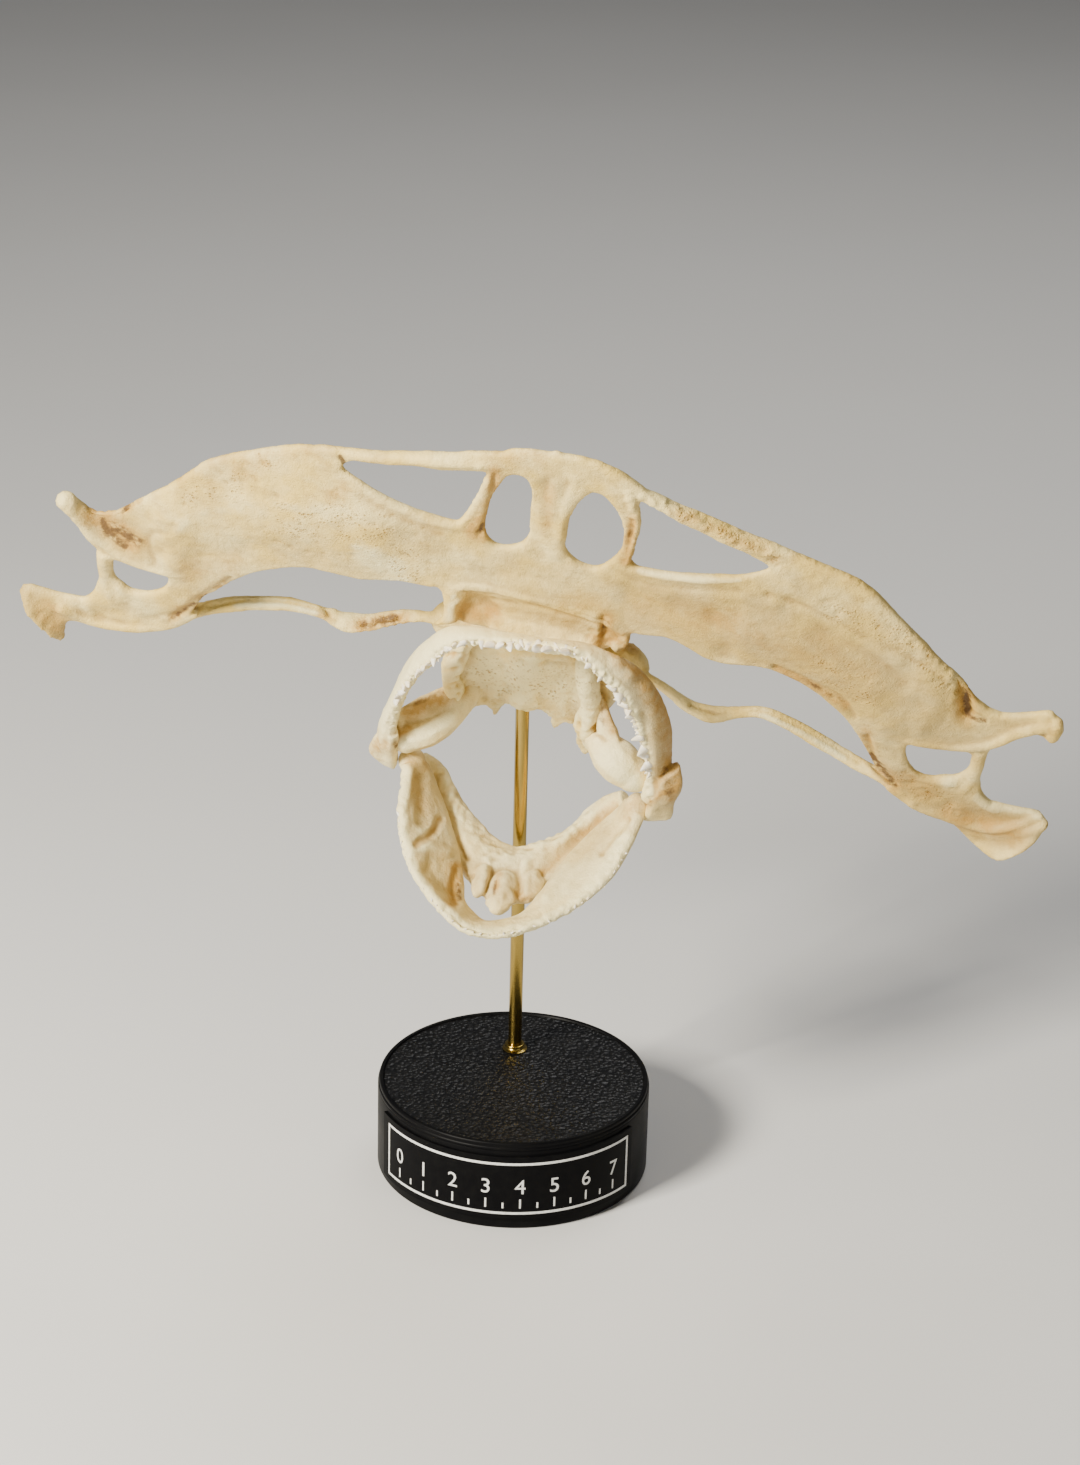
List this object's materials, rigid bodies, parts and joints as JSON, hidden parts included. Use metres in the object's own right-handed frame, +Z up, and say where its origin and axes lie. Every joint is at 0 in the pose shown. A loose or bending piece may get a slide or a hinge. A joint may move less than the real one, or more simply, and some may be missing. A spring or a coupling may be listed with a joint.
{
  "type": "hammerhead shark skull on a stand",
  "caption": "Life-size hammerhead shark skull with wide winged plate and open toothed jaws, mounted on a brass rod in a round black base.",
  "frame": {"origin": "middle of the round base's underside", "axes": "+Z up along the stand, +X to the right across the wings as seen from the label, +Y to the back"},
  "size_m": [0.2908, 0.103, 0.2425],
  "materials": {
    "bone": "dry cream cartilage with fine pores, tan in the hollows",
    "jaw_bone": "paler, whiter dried cartilage with white teeth",
    "brass": "polished round rod",
    "base_black": "satin black paint, pebbled on top",
    "label_black": "black tape with a white frame line"
  },
  "bodies": {
    "root": {"cranium": "bone", "upper_jaw_left": "jaw_bone", "upper_jaw_right": "jaw_bone", "lower_jaw_left": "jaw_bone", "lower_jaw_right": "jaw_bone", "jaw_support_left": "bone", "jaw_support_right": "bone", "tongue_arch": "bone", "stand_rod": "brass", "stand_collar": "brass", "stand_base": "base_black", "stand_label": "label_black"}
  },
  "joints": []
}
